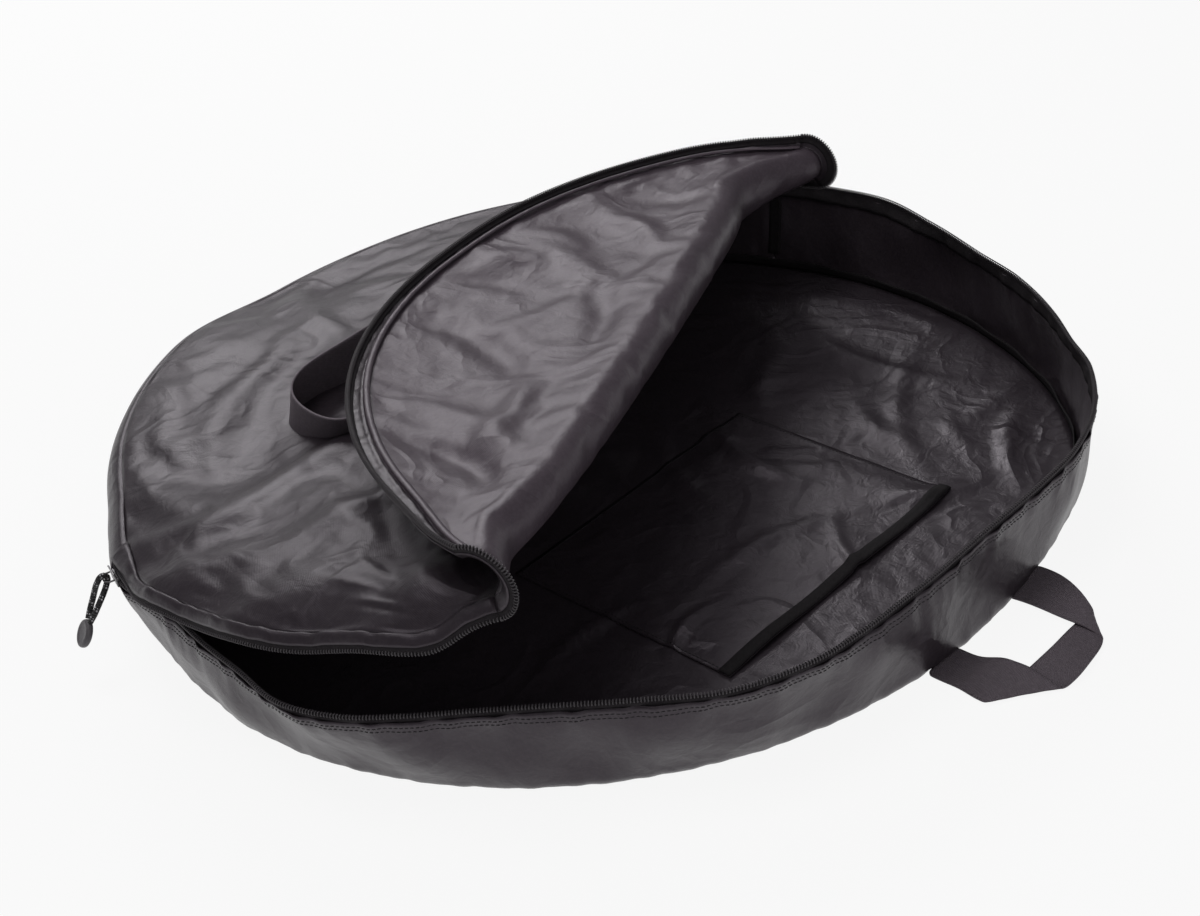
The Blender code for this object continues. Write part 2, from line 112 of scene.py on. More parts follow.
chord_start = spot(seam_radius, zip_start, seam_height)
chord_end = spot(seam_radius, zip_end, seam_height)
chord_way = (chord_start - chord_end).normalized()
chord_front = UP.cross(chord_way)
fold_start = spot(seam_radius, fold_front, seam_height)
fold_end = spot(seam_radius, fold_rear, seam_height)
fold_way = (fold_start - fold_end).normalized()
fold_side = UP.cross(fold_way)
lid_turn = turning(chord_end, chord_way, lid_lift)
flap_turn = lid_turn @ turning(fold_end + UP * fold_radius, fold_way, flap_fold)
lid_up = (lid_turn.to_3x3() @ UP).normalized()
print("lid turned", lid_lift, "degrees, flap", flap_fold)

# %% [markdown]
# Small helpers that every cloth piece shares. Cloth is built as a grid of points,
# so that it has a flat cutting size: the UV map holds metres, and a weave or a
# stitch line then keeps its real scale wherever the cloth bends.

# %% Curves and rows of points
def ease(low, high, value):
    """Rises smoothly from 0 at low to 1 at high."""
    share = min(1, max(0, (value - low) / (high - low)))
    return share * share * (3 - 2 * share)


def read_off(table, where):
    """A smooth value from a table of (place, value) pairs."""
    if where <= table[0][0]:
        return table[0][1]
    for k in range(len(table) - 1):
        if where <= table[k + 1][0]:
            t = (where - table[k][0]) / (table[k + 1][0] - table[k][0])
            p0, p1 = table[max(0, k - 1)][1], table[k][1]
            p2, p3 = table[k + 1][1], table[min(len(table) - 1, k + 2)][1]
            bend = (2 * p0 - 5 * p1 + 4 * p2 - p3) * t * t
            return p1 + 0.5 * ((p2 - p0) * t + bend + (3 * p1 - p0 - 3 * p2 + p3) * t ** 3)
    return table[-1][1]


def in_metres(rows, *places):
    """Rows of numbers whose named places are written in millimetres."""
    return [tuple(v * 0.001 if k in places else v for k, v in enumerate(row)) for row in rows]


def span(start, end, count):
    """Evenly spaced values from start to end, both included."""
    return [start + (end - start) * i / (count - 1) for i in range(count)]


def grid(point_at, firsts, seconds):
    """Rows of points, from a function of two places."""
    return [[point_at(first, second) for second in seconds] for first in firsts]


print("ease at a quarter of its way", ease(0, 1, 0.25))


# %% From rows of points to a piece
def link(name, data, *materials):
    """A new object in the scene from a mesh or a lamp."""
    piece = bpy.data.objects.new(name, data)
    bpy.context.scene.collection.objects.link(piece)
    for material in materials:
        data.materials.append(material)
    return piece


def grid_mesh(name, rows, closed=False):
    """A mesh through rows of points, with a UV map in metres."""
    high, wide = len(rows), len(rows[0])
    points = np.array([[tuple(p) for p in row] for row in rows])
    along = np.zeros((high + 1, wide))
    around = np.vstack([points, points[:1]])
    along[1:] = np.cumsum(np.linalg.norm(np.diff(around, axis=0), axis=2), axis=0)
    along[:] = along[:, [wide // 2]]
    across = np.zeros((high, wide))
    across[:, 1:] = np.cumsum(np.linalg.norm(np.diff(points, axis=1), axis=2), axis=1)
    faces, uvs = [], []
    for i in range(high if closed else high - 1):
        k = (i + 1) % high
        for j in range(wide - 1):
            faces.append((i * wide + j, k * wide + j, k * wide + j + 1, i * wide + j + 1))
            uvs += [(along[i, j], across[i, j]), (along[i + 1, j], across[k, j]),
                    (along[i + 1, j + 1], across[k, j + 1]), (along[i, j + 1], across[i, j + 1])]
    mesh = bpy.data.meshes.new(name)
    mesh.from_pydata([tuple(p) for p in points.reshape(-1, 3)], [], faces)
    mesh.uv_layers.new(name="metres").data.foreach_set("uv", np.array(uvs).ravel())
    mesh.shade_smooth()
    return mesh


def welded(mesh, nearest, turn):
    """Merge doubled points, then let bmesh turn the faces: over, or so that all point out."""
    shape = bmesh.new()
    shape.from_mesh(mesh)
    bmesh.ops.remove_doubles(shape, verts=shape.verts, dist=nearest)
    if turn:
        turn(shape, faces=shape.faces)
    shape.to_mesh(mesh)
    shape.free()
    return mesh


def bake(piece):
    """Turn a piece and its modifiers into one plain mesh."""
    bpy.context.view_layer.update()
    deps = bpy.context.evaluated_depsgraph_get()
    mesh = bpy.data.meshes.new_from_object(piece.evaluated_get(deps), depsgraph=deps)
    piece.modifiers.clear()
    piece.data = mesh
    print(piece.name, len(mesh.polygons), "faces")
    return piece


def finer(piece, levels):
    rounding = piece.modifiers.new("finer", "SUBSURF")
    rounding.levels = rounding.render_levels = levels


def cloth(name, rows, material, thick, closed=False, outside=True, smooth=0):
    """Cloth through rows of points, given its thickness. Where outside is False, its faces turn over."""
    mesh = welded(grid_mesh(name, rows, closed), 0.00002, None if outside else bmesh.ops.reverse_faces)
    piece = link(name, mesh, material)
    if smooth:
        finer(piece, smooth)
    shell = piece.modifiers.new("thickness", "SOLIDIFY")
    shell.thickness = thick
    shell.offset = 0
    return bake(piece)


def take_place(piece, body, slot, *nodes):
    """A piece rides on a body and stands for its CAD nodes."""
    if body:
        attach(piece, body)
    if nodes:
        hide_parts(*nodes)
    return piece


print("piece helpers ready")

# %% [markdown]
# Woven nylon, webbing and zip tape are all threads over and under each other.
# One node group draws that weave from the UV map in metres, adds soft crinkles, sharp
# creases and a faint uneven tone from Object coordinates, and is placed in every cloth
# material with that cloth's own thread size.

# %% Small helpers for node trees
def fill(tree, sockets, values):
    """Set each socket to its value, or join it where the value is another node's output."""
    for key, value in values.items():
        if isinstance(value, bpy.types.NodeSocket):
            tree.links.new(value, sockets[key])
        else:
            sockets[key].default_value = value


def put(tree, kind, values={}, **settings):
    """Add a node with its settings and its inputs."""
    node = tree.nodes.new(kind)
    for key, value in settings.items():
        setattr(node, key, value)
    fill(tree, node.inputs, values)
    return node


def reckon(tree, kind, *values):
    """A Math node on one or two values; a value in brackets is a Math node of its own."""
    values = [reckon(tree, *value) if isinstance(value, tuple) else value for value in values]
    return put(tree, "ShaderNodeMath", dict(enumerate(values)), operation=kind).outputs[0]


def noise(tree, where, scale, detail, rough, distortion=0):
    values = {"Vector": where, "Scale": scale, "Detail": detail, "Roughness": rough,
              "Distortion": distortion}
    return put(tree, "ShaderNodeTexNoise", values).outputs["Fac"]


def colour_mix(tree, share, first, second):
    """Mix nodes have several sockets of one name, so the colour ones are found by being enabled."""
    node = put(tree, "ShaderNodeMix", data_type="RGBA")
    fill(tree, [s for s in node.inputs if s.enabled], dict(enumerate((share, first, second))))
    return [s for s in node.outputs if s.enabled][0]


def new_group(name, inputs, outputs, kind="ShaderNodeTree"):
    """A node group with its sockets, each named with its kind, and its two end nodes."""
    tree = bpy.data.node_groups.new(name, kind)
    for way, sockets in (("INPUT", inputs), ("OUTPUT", outputs)):
        for label, socket in sockets:
            tree.interface.new_socket(label, in_out=way, socket_type="NodeSocket" + socket)
    return tree, put(tree, "NodeGroupInput").outputs, put(tree, "NodeGroupOutput").inputs


finish_outputs = [("Colour", "Color"), ("Roughness", "Float"), ("Height", "Float")]
print("node helpers ready")

# %% Weave group
def make_weave_group():
    amounts = ("Pitch Along", "Pitch Across", "Thread Height", "Crinkle Height", "Roughness")
    inputs = [("Thread Colour", "Color"), ("Rubbed Colour", "Color")]
    inputs += [(name, "Float") for name in amounts]
    tree, given, made = new_group("woven_threads", inputs, finish_outputs)
    place = put(tree, "ShaderNodeTexCoord").outputs
    flat = put(tree, "ShaderNodeSeparateXYZ", {0: place["UV"]}).outputs
    waves = [("SINE", ("MULTIPLY", ("DIVIDE", flat[k], given[name]), FULL_TURN))
             for k, name in enumerate(amounts[:2])]
    threads = reckon(tree, "MULTIPLY", *waves)
    weave = ("MULTIPLY", threads, given["Thread Height"])
    tone = noise(tree, place["Object"], 14, 4, 0.6)
    lint = noise(tree, place["Object"], 420, 2, 0.7)
    crinkle = noise(tree, place["Object"], 75, 3, 0.55, 0.6)
    # Where a slow noise crosses its middle value, its folded form has a sharp line: a crease.
    crumple = noise(tree, place["Object"], 13, 2, 0.45, 1)
    sharp = ("MINIMUM", ("ABSOLUTE", ("SUBTRACT", crumple, 0.5)), 0.12)
    folds = ("MULTIPLY", ("SUBTRACT", crinkle, ("MULTIPLY", sharp, 6.5)), given["Crinkle Height"])
    specks = ("MULTIPLY", ("SUBTRACT", lint, 0.52), 1.6)
    rub = reckon(tree, "ADD", ("ADD", ("MULTIPLY", tone, 0.55), specks), ("MULTIPLY", threads, 0.12))
    rubbed = put(tree, "ShaderNodeClamp", {0: rub}).outputs[0]
    change = ("MULTIPLY", ("SUBTRACT", tone, 0.5), 0.16)
    fill(tree, made, {"Colour": colour_mix(tree, rubbed, given["Thread Colour"], given["Rubbed Colour"]),
                      "Roughness": reckon(tree, "ADD", given["Roughness"], change),
                      "Height": reckon(tree, "ADD", weave, folds)})
    return tree


weave_group = make_weave_group()
print("weave group", len(weave_group.nodes), "nodes")


# %% Cloth materials
def srgb(red, green, blue):
    """A colour as the eye names it, 0 to 255, turned into the linear values that nodes use."""
    return (*(((c / 255 + 0.055) / 1.055) ** 2.4 for c in (red, green, blue)), 1)


def new_material(name):
    material = bpy.data.materials.new(name)
    material.use_nodes = True
    return material, material.node_tree, material.node_tree.nodes["Principled BSDF"]


def finished(name, finish, values, shine):
    """A material whose colour, roughness and bump come from a finish group."""
    material, tree, shader = new_material(name)
    group = put(tree, "ShaderNodeGroup", node_tree=finish)
    fill(tree, group.inputs, values)
    bump = put(tree, "ShaderNodeBump", {"Distance": 0.001, "Height": group.outputs["Height"]})
    fill(tree, shader.inputs, {"Base Color": group.outputs["Colour"], "Roughness": group.outputs["Roughness"],
                               "Normal": bump.outputs[0], **shine})
    return material


white = (1, 1, 1)


def woven(name, colour, rubbed, rough, pitch, thread, crinkle, specular, tint=white):
    """A woven material. Heights are in millimetres, pitches in metres."""
    values = {"Thread Colour": colour, "Rubbed Colour": rubbed, "Pitch Along": pitch[0],
              "Pitch Across": pitch[1], "Thread Height": thread, "Crinkle Height": crinkle,
              "Roughness": rough}
    return finished(name, weave_group, values, {"Specular IOR Level": specular, "Specular Tint": (*tint, 1)})


violet = (1, 0.90, 1)
nylon = ((0.0011, 0.0011), 0.03)
shell_nylon = woven("shell_nylon_cloth", srgb(48, 42, 47), srgb(62, 55, 60),
                    0.36, *nylon, 0.65, 0.45, violet)
lining_nylon = woven("lining_nylon_cloth", srgb(76, 67, 74), srgb(93, 83, 91),
                     0.38, *nylon, 0.65, 0.45, violet)
floor_nylon = woven("floor_nylon_cloth", srgb(48, 42, 47), srgb(61, 55, 60),
                    0.34, *nylon, 0.9, 0.6, violet)
# Black webbing painted far lighter than black: painted light that stands in for the light its shaded faces
# lack.
webbing = woven("black_webbing_with_painted_light", srgb(112, 103, 110), srgb(132, 123, 130),
                0.75, (0.0030, 0.0016), 0.22, 0.15, 0.3)
binding = woven("seam_tape", srgb(30, 27, 29), srgb(44, 40, 43),
                0.75, (0.0014, 0.0012), 0.10, 0.2, 0.2)
zip_tape = woven("zip_tape_cloth", srgb(42, 38, 41), srgb(56, 52, 55),
                 0.75, (0.0012, 0.0009), 0.10, 0.15, 0.2)
print("cloth materials made")

# %% [markdown]
# Filament, metal and moulded plastic are smooth, with a slightly uneven gloss.
# One small group gives that unevenness, and each material keeps its own colour.

# %% Smooth materials
def make_handled_group():
    inputs = [("Clean Colour", "Color"), ("Worn Colour", "Color"), ("Roughness", "Float"), ("Scale", "Float")]
    tree, given, made = new_group("handled_surface", inputs, finish_outputs)
    grain = noise(tree, put(tree, "ShaderNodeTexCoord").outputs["Object"], given["Scale"], 4, 0.5)
    change = ("MULTIPLY", ("SUBTRACT", grain, 0.5), 0.25)
    fill(tree, made, {"Colour": colour_mix(tree, grain, given["Clean Colour"], given["Worn Colour"]),
                      "Roughness": reckon(tree, "ADD", given["Roughness"], change),
                      "Height": reckon(tree, "MULTIPLY", grain, 0.04)})
    return tree


handled_group = make_handled_group()


def smooth_stuff(name, clean, worn, rough, metal, scale):
    """Metal, plastic or filament whose gloss is a little uneven."""
    values = {"Clean Colour": clean, "Worn Colour": worn, "Roughness": rough, "Scale": scale}
    return finished(name, handled_group, values, {"Metallic": metal})


coil_filament = smooth_stuff("coil_filament", srgb(66, 62, 65), srgb(92, 87, 91), 0.55, 0, 300)
thread_black = smooth_stuff("sewing_thread", srgb(26, 24, 26), srgb(40, 38, 40), 0.60, 0, 900)
slider_metal = smooth_stuff("slider_metal", srgb(70, 68, 70), srgb(120, 118, 120), 0.36, 0.9, 260)
toggle_plastic = smooth_stuff("toggle_moulding", srgb(92, 88, 92), srgb(104, 100, 104), 0.48, 0, 220)
print("smooth materials made")

# %% [markdown]
# The pull is a doubled cord with pale flecks that hooks over the slider's bail, and a
# thick oval disc that its two ends are sewn into. The cord is a free one, so it keeps
# the route and the length of the CAD model. It is a tube round that route, because
# its flecks have to wind round it, which needs a UV map.

# %% Route of the pull cord
bail_bar = Vector((-0.33704, -0.15289, 0.079))
slider_bearing = -155.6
cord_radius, pull_drop, pull_spread = 0.0021, 0.0316, 0.0051
lean = radians(33)
pull_down = spot(1, slider_bearing, 0) * sin(lean) - UP * cos(lean)
pull_across = tangent(slider_bearing)
pull_away = pull_across.cross(pull_down)
over_bar = 0.0007 + 0.0003 + cord_radius
leg_shares = ((0.50, 0, 1.00), (0.68, 0, 0.91), (0.98, 0, 0.76), (1.06, 0.05, 0.60),
              (0.98, 0.25, 0.44), (0.74, 0.55, 0.30), (0.36, 0.88, 0.16), (0.08, 1, 0.06))


def leg_point(side, shares):
    across, away, down = shares
    shift = pull_across * pull_spread * across + pull_away * over_bar * away
    return bail_bar + pull_down * pull_drop * down + shift * side


def smooth_line(route, count):
    """Points along a smooth curve through the points of a route."""
    table = [[(i, p[k]) for i, p in enumerate(route)] for k in range(3)]
    return [Vector([read_off(axis, w) for axis in table]) for w in span(0, len(route) - 1, count)]


def cord_route():
    """The cord's way up one side, over the bail's far bar and down the other."""
    up, down = grid(leg_point, (-1, 1), leg_shares)
    arch = [bail_bar - (pull_away * cos(turn) + pull_down * sin(turn)) * over_bar for turn in span(0, pi, 5)]
    return smooth_line(up + arch + down[::-1], 34)


route = cord_route()


# %% Pull cord
def tube_mesh(name, line, radius, sides):
    """A closed round tube along a line, with a UV map: along it, and once round it."""
    rows = []
    normal = None
    for i, point in enumerate(line):
        way = (line[min(i + 1, len(line) - 1)] - line[max(i - 1, 0)]).normalized()
        if normal is None:
            normal = way.orthogonal()
        normal = (normal - way * normal.dot(way)).normalized()
        other = way.cross(normal)
        ring = [FULL_TURN * k / sides for k in range(sides + 1)]
        rows.append([point + (normal * cos(a) + other * sin(a)) * radius for a in ring])
    rows = [[line[0]] * (sides + 1)] + rows + [[line[-1]] * (sides + 1)]
    return welded(grid_mesh(name, rows), 0.000005, bmesh.ops.recalc_face_normals)


def flecked_cord():
    """Black braid with short white flecks that wind round it."""
    material, tree, shader = new_material("flecked_braid")
    flat = put(tree, "ShaderNodeSeparateXYZ", {0: put(tree, "ShaderNodeTexCoord").outputs["UV"]}).outputs
    along = reckon(tree, "DIVIDE", flat[0], 0.0042)
    around = reckon(tree, "DIVIDE", flat[1], FULL_TURN * cord_radius)
    winds = [("SINE", ("MULTIPLY", ("ADD", along, ("MULTIPLY", around, side * 3)), FULL_TURN))
             for side in (1, -1)]
    braid = reckon(tree, "MULTIPLY", *winds)
    slow = ("ADD", ("DIVIDE", flat[0], 0.0084), around)
    band = ("MAXIMUM", ("SINE", ("MULTIPLY", slow, FULL_TURN)), 0)
    fleck = reckon(tree, "GREATER_THAN", ("MULTIPLY", band, braid), 0.22)
    bump = put(tree, "ShaderNodeBump", {"Distance": 0.0004, "Height": braid})
    fill(tree, shader.inputs, {"Base Color": colour_mix(tree, fleck, srgb(28, 27, 29), srgb(206, 204, 208)),
                               "Roughness": 0.62, "Normal": bump.outputs[0]})
    return material


cord_piece = link("pull_cord_braid", tube_mesh("pull_cord_braid", route, cord_radius, 16), flecked_cord())
cord_piece.data.shade_smooth()
take_place(cord_piece, "pull", "cord", "pull_cord")
print("cord of", len(cord_piece.data.polygons), "faces")

# %% Disc at the cord's end
disc_radius, disc_length = 0.0092, 1.1


def toggle_point(turn, place):
    """A point of the disc: round it, and by a place of its profile."""
    middle = bail_bar + pull_down * (pull_drop + 0.0003 + disc_radius * disc_length)
    way = pull_down * cos(turn) * disc_length + pull_across * sin(turn)
    return middle + way * place[0] - pull_away * place[1]


def make_toggle():
    """The thick oval disc: a lathe profile with a shallow dish in both faces, a little longer than wide."""
    profile = [(0, 1.9), (5, 1.9), (6.2, 2.4), (7.6, 2.5), (8.7, 2), (disc_radius * 1000, 0.8)]
    profile = in_metres(profile, 0, 1)
    profile += [(r, -h) for r, h in reversed(profile)]
    rows = grid(toggle_point, span(0, FULL_TURN, 49)[:-1], profile)
    mesh = welded(grid_mesh("pull_disc", rows, closed=True), 0.00001, bmesh.ops.recalc_face_normals)
    piece = link("pull_disc", mesh, toggle_plastic)
    finer(piece, 1)
    return bake(piece)


disc_piece = take_place(make_toggle(), "pull", "toggle_plastic", "pull_toggle")

# %% [markdown]
# Creases in cloth are long, soft ridges that start at a seam and fade out. Each is
# a line on the cloth with a width and a height. A list of such lines, some given one
# by one and some thrown by a seeded random generator, gives a surface that a smooth
# noise cannot: cloth has folds with a direction.

# %% Creases and puckers
# A crease is a row of x, y, angle, half length, width and height; all but the angle are lengths.
crease_places = (0, 1, 3, 4, 5)


def crease_field(seed, count, middle, reach, length, width, height):
    """Random creases inside a circle."""
    dice = random.Random(seed)
    lines = []
    for _ in range(count):
        bearing, far = dice.uniform(0, FULL_TURN), reach * sqrt(dice.random())
        x, y = middle[0] + far * cos(bearing), middle[1] + far * sin(bearing)
        lines.append((x, y, dice.uniform(0, pi), dice.uniform(*length), dice.uniform(*width),
                      dice.uniform(*height) * dice.choice((1, 1, -0.7))))
    return lines


def crease_height(lines, point):
    """How high a list of creases lifts the cloth at a point."""
    total = 0
    for cx, cy, angle, half, wide, high in lines:
        dx, dy = point.x - cx, point.y - cy
        a = (dx * cos(angle) + dy * sin(angle)) / half
        if abs(a) > 2.2:
            continue
        b = (dy * cos(angle) - dx * sin(angle) + 0.25 * half * a * a) / wide
        if abs(b) < 3:
            total += high * exp(-a * a * 1.6 - b * b * 1.2)
    return total


def pucker(bearing, depth):
    """Short gathers along a sewn edge, fading with the distance from it."""
    a = radians(bearing)
    ripple = sin(a * 147) * 0.5 + sin(a * 91 + 1.3) * 0.7 + sin(a * 41 + 0.4) * 0.6
    return ripple * exp(-depth / 0.016)


print("crease and gather helpers ready")

# %% Waves of the rim and of the wall's foot
# How far the zip and the wall's foot stand out from their circles, by bearing
rim_table = in_metres([(-157.6, 0), (-153.4, -0.5), (-149, -8), (-145, -11), (-138, -7), (-131, 0),
    (-124, 13), (-117, 12), (-112, 5), (-105, -4), (-97, -7), (-88, -2), (-80, 7), (-71, 5), (-66, -1),
    (-60, -8), (-54, -12), (-47, -14), (-41, -11), (-34, -3), (-28, 6), (-20, 12), (-11, 10), (-5, 2),
    (2, -1), (12, -5), (20, -10), (31, -5), (40, 4), (48, 2), (57, 0)], 1)
foot_table = in_metres([(-157.6, 0), (-149, 0), (-125, 3), (-100, 3), (-75, 4), (-50, 6), (-40, 8),
    (-30, 12), (-20, 18), (-13, 22), (0, 20), (15, 12), (35, 4), (57, 0)], 1)


def rim_wave(bearing):
    return read_off(rim_table, bearing)


def foot_wave(bearing):
    return read_off(foot_table, bearing)


def foot_ring_wave(bearing):
    """The foot's wave on the full circle: it is nought along the rear wall."""
    front = bearing if bearing <= zip_end else bearing - 360
    return foot_wave(front) if front > zip_start else 0


def sag(bearing):
    """How far the rear wall has sunk at a bearing, from 0 to 1."""
    return ease(64, 88, bearing % 360) * (1 - ease(133, 156, bearing % 360))


def wall_radius(height):
    share = height / zip_height
    foot = base_radius - 0.0012
    return foot + (zip_radius + 0.0015 - foot) * share + 0.0025 * sin(pi * share)


print("rim waves between", min(v for _, v in rim_table), "and", max(v for _, v in rim_table))

# %% [markdown]
# Thin cloth that is held at its edges never lies smooth. Blender's cloth finds its
# small folds: the grid is held at its border, its rest size is grown by about half a
# percent, and a few steps let it buckle. The interior is held loosely, so that many
# short folds form instead of one deep bag, and no point may move further than a cap.

# %% Let a cloth grid settle
def settle(rows, growth, cap, bend, frames=18, hold=0.22, gravity=0.25):
    """Rows of points after Blender's cloth has crumpled them, held at all four edges."""
    high, wide = len(rows), len(rows[0])
    piece = link("settling", grid_mesh("settling", rows))
    group = piece.vertex_groups.new(name="held")
    border = [i * wide + j for i in range(high) for j in range(wide)
              if i in (0, 1, high - 2, high - 1) or j in (0, wide - 1)]
    group.add(list(range(high * wide)), hold, "REPLACE")
    group.add(border, 1, "REPLACE")
    modifier = piece.modifiers.new("settle", "CLOTH")
    threads = modifier.settings
    threads.quality = 6
    threads.mass = 0.12
    threads.tension_stiffness = threads.compression_stiffness = 20
    threads.shear_stiffness = 6
    threads.bending_stiffness = bend
    threads.vertex_group_mass = "held"
    threads.shrink_min = -growth
    threads.effector_weights.gravity = gravity
    modifier.collision_settings.use_collision = False
    modifier.point_cache.frame_start, modifier.point_cache.frame_end = 1, frames
    for step in range(1, frames + 1):
        bpy.context.scene.frame_set(step)
    settled = piece.evaluated_get(bpy.context.evaluated_depsgraph_get()).to_mesh()
    starts = np.array([tuple(p) for row in rows for p in row])
    moves = np.array([tuple(v.co) for v in settled.vertices]) - starts
    far = np.linalg.norm(moves, axis=1)
    ends = starts + moves * (cap / np.maximum(far, cap))[:, None]
    bpy.data.objects.remove(piece, do_unlink=True)
    bpy.context.scene.frame_set(1)
    print("settled by", round(1000 * far.mean(), 2), "mm, at most", round(1000 * far.max(), 1))
    return [[Vector(p) for p in row] for row in ends.reshape(high, wide, 3)]


# %% [markdown]
# The front wall is a long strip of cloth between the floor and the zip. On the real
# bag it stands only because the cloth is stiff enough, so its top edge wanders in and
# out, its foot rolls onto the floor, and the zip's stitching gathers it.

# %% Front wall
wall_foot, wall_top = 0.0012, 0.0715
nylon_thick = 0.0010
# Behind the handle the wall is pressed in.
dent_bearing, dent_reach, dent_depth = -44, 11, 0.008


def front_wall_point(a, height):
    """The wall's cloth at a bearing and a height, with its waves and its gathers at both seams."""
    share = (height - wall_foot) / (wall_top - wall_foot)
    wave = foot_wave(a) * (1 - share) + rim_wave(a) * max(0, share) ** 1.3
    turned_in = -0.003 * (1 - ease(0, 0.07, share))
    edge = ease(0, 1.6, a - zip_start) * ease(0, 1.6, zip_end - a)
    ripple = pucker(a, wall_top - height) * 0.0010 + pucker(a + 77, height) * 0.0005
    slow = (0.0026 * sin(radians(a) * 13 + 3 * share) + 0.0016 * sin(radians(a) * 31 - 2 * share))
    dent = exp(-((a - dent_bearing) / dent_reach) ** 2)
    bulge = (slow * (1 - dent) - dent_depth * dent) * sin(pi * min(1, max(0, share)))
    return spot(wall_radius(height) + wave + turned_in + (ripple + bulge) * edge, a, height)


front_rows = grid(front_wall_point, span(zip_start - 0.15, zip_end + 0.15, 430),
                  span(wall_foot, wall_top, 24))
front_wall = cloth("front_wall_cloth", front_rows, shell_nylon, nylon_thick)
take_place(front_wall, "bag_base", "shell_nylon", "front_gusset")

# %% [markdown]
# The rear wall joins the lid without a zip, round the back. Nothing holds it up, so
# it sinks between its two ends, and the lid follows it down.

# %% Rear wall
rear_foot, upright = 0.0014, 0.8
rear_seam_radius, rear_sink = 0.3460, 0.018
rear_table = in_metres([(57, 0), (70, 4), (90, -1), (104, -3), (121, -6), (135, -5), (148, -6), (164, -6),
    (178, -8), (190, -11), (197, -6), (202.4, 0)], 1)


def rear_wave(bearing):
    """How far the rear wall stands in from the rim's circle."""
    return read_off(rear_table, bearing % 360)


def rear_edge(bearing):
    """Where the rear wall's top seam runs."""
    radius = rear_seam_radius + 0.85 * rear_wave(bearing)
    return spot(radius, bearing, seam_height - 0.0015 - rear_sink * sag(bearing))


def rear_wall_point(a, share):
    """The lower four fifths are upright like the front wall; above them the cloth turns in to its seam."""
    seam = rear_edge(a)
    tall = seam.z / seam_height
    if share < upright:
        h = rear_foot + (zip_height - rear_foot) * share / upright
        r = wall_radius(h) + rear_wave(a) * (share / upright) ** 0.7 - 0.003 * (1 - ease(0, 0.06, share))
        z = rear_foot + (h - rear_foot) * tall
    else:
        t = (share - upright) / (1 - upright)
        start_r = wall_radius(zip_height) + rear_wave(a)
        r = start_r + (seam.xy.length - start_r) * t ** 1.6
        z = zip_height * tall + (seam.z - zip_height * tall) * sin(t * pi * 0.4) / sin(pi * 0.4)
    edge = ease(0, 2, a - zip_end) * ease(0, 2, 360 + zip_start - a)
    slow = 0.0030 * sin(radians(a) * 9 + 4 * share) * sin(pi * min(1, share * 1.1))
    ripple = pucker(a, share * 0.09) * 0.0009
    return spot(r + (slow + ripple) * edge, a, z)


rear_rows = grid(rear_wall_point, span(zip_end - 0.1, 360 + zip_start + 0.1, 300), span(0, 1, 24))
rear_wall = cloth("rear_wall_cloth", rear_rows, shell_nylon, nylon_thick)
take_place(rear_wall, "bag_base", "shell_nylon", "hinge_gusset")

# %% [markdown]
# The floor of the bag is a disc of the same cloth. It lies flat on the ground, and its
# slack shows as long low folds. It is a set of rings, closed in the middle.

# %% Floor
floor_height, floor_inset = 0.0026, 0.0028
floor_creases = crease_field(11, 46, (0.02, -0.02), 0.33, (0.03, 0.11), (0.004, 0.010), (0.0012, 0.0042))


def floor_point(a, share):
    point = spot((base_radius - floor_inset + foot_ring_wave(a)) * share, a, floor_height)
    point.z += max(0, crease_height(floor_creases, point)) * (1 - ease(0.90, 1, share))
    return point


floor_rows = grid(floor_point, span(0, 360, 241)[:-1], span(0, 1, 64))
floor_cloth = cloth("floor_cloth", floor_rows, floor_nylon, nylon_thick, closed=True, outside=False)
take_place(floor_cloth, "bag_base", "shell_nylon", "base_panel")

# %% [markdown]
# The lid is one cloth. It starts at the rear seam, bends up at the crease behind the
# zip, and ends at the edge where its front half folds back. It is drawn closed, as
# ribs from the seam to that edge, and a soft turn about the crease lifts it.

# %% Edges of the lid
# The folded edge is bowed: furthest back at its peak, and a little at once from both ends.
fold_peak, fold_bow, fold_back = 0.84, 0.052, 0.017


def fold_edge(share, side):
    """The folded edge in the closed lid: side -1 is the lid's end of it, +1 the flap's."""
    if share < fold_peak:
        back = fold_bow * (share / fold_peak) ** 1.5
    else:
        back = fold_bow * ease(0, 1 - fold_peak, 1 - share)
    back += fold_back * ease(0, 0.07, share) * ease(0, 0.07, 1 - share)
    front, rear = edge_point(0, fold_front, seam_height), edge_point(0, fold_rear, seam_height)
    return front.lerp(rear, share) + fold_side * (side * (back + 0.0005))


# How far the lid's seam stands in from the zip, the edge's way out and its way down
inset_table = in_metres([(-157.6, 14.5), (-150, 7), (-110, 6), (-98, 9), (-85, 11), (-50, 10), (0, 10),
    (30, 7), (42.5, 1.5), (50, 8), (57, 14.5)], 1)
out_table = in_metres([(-157.6, 0), (-140, 1), (-110, 2), (-98, 0), (-85, -3), (-60, -8), (-20, -6), (0, 3),
    (22, 3), (34, -3), (42.5, -10), (57, 0)], 1)
droop_table = in_metres([(-98, 0), (-80, 5), (-50, 9), (0, 6), (30, 4), (42.5, 0)], 1)


def edge_point(share, bearing, height):
    """A point of the closed lid's edge band: share 0 at the lid's seam, 1 at the zip."""
    a = bearing if bearing <= 180 else bearing - 360
    out = read_off(out_table, a)
    down = 0
    if a < fold_front:
        inside = ease(0, 9, a - zip_start) * ease(0, 9, fold_front - a)
        out += 0.0022 * sin(radians(a) * 19) * inside
        down = -(0.006 + 0.006 * ease(-150, -110, a) + 0.0016 * sin(radians(a) * 23)) * inside
    elif a < fold_rear:
        down = read_off(droop_table, a) * share
    radius = zip_radius - read_off(inset_table, a) * (1 - share) + out
    return spot(radius, bearing, height + down)


print("the fold is bowed by", round(1000 * (fold_bow + fold_back)), "mm")

# %% Pushes and the soft lift
crease_width = 0.07
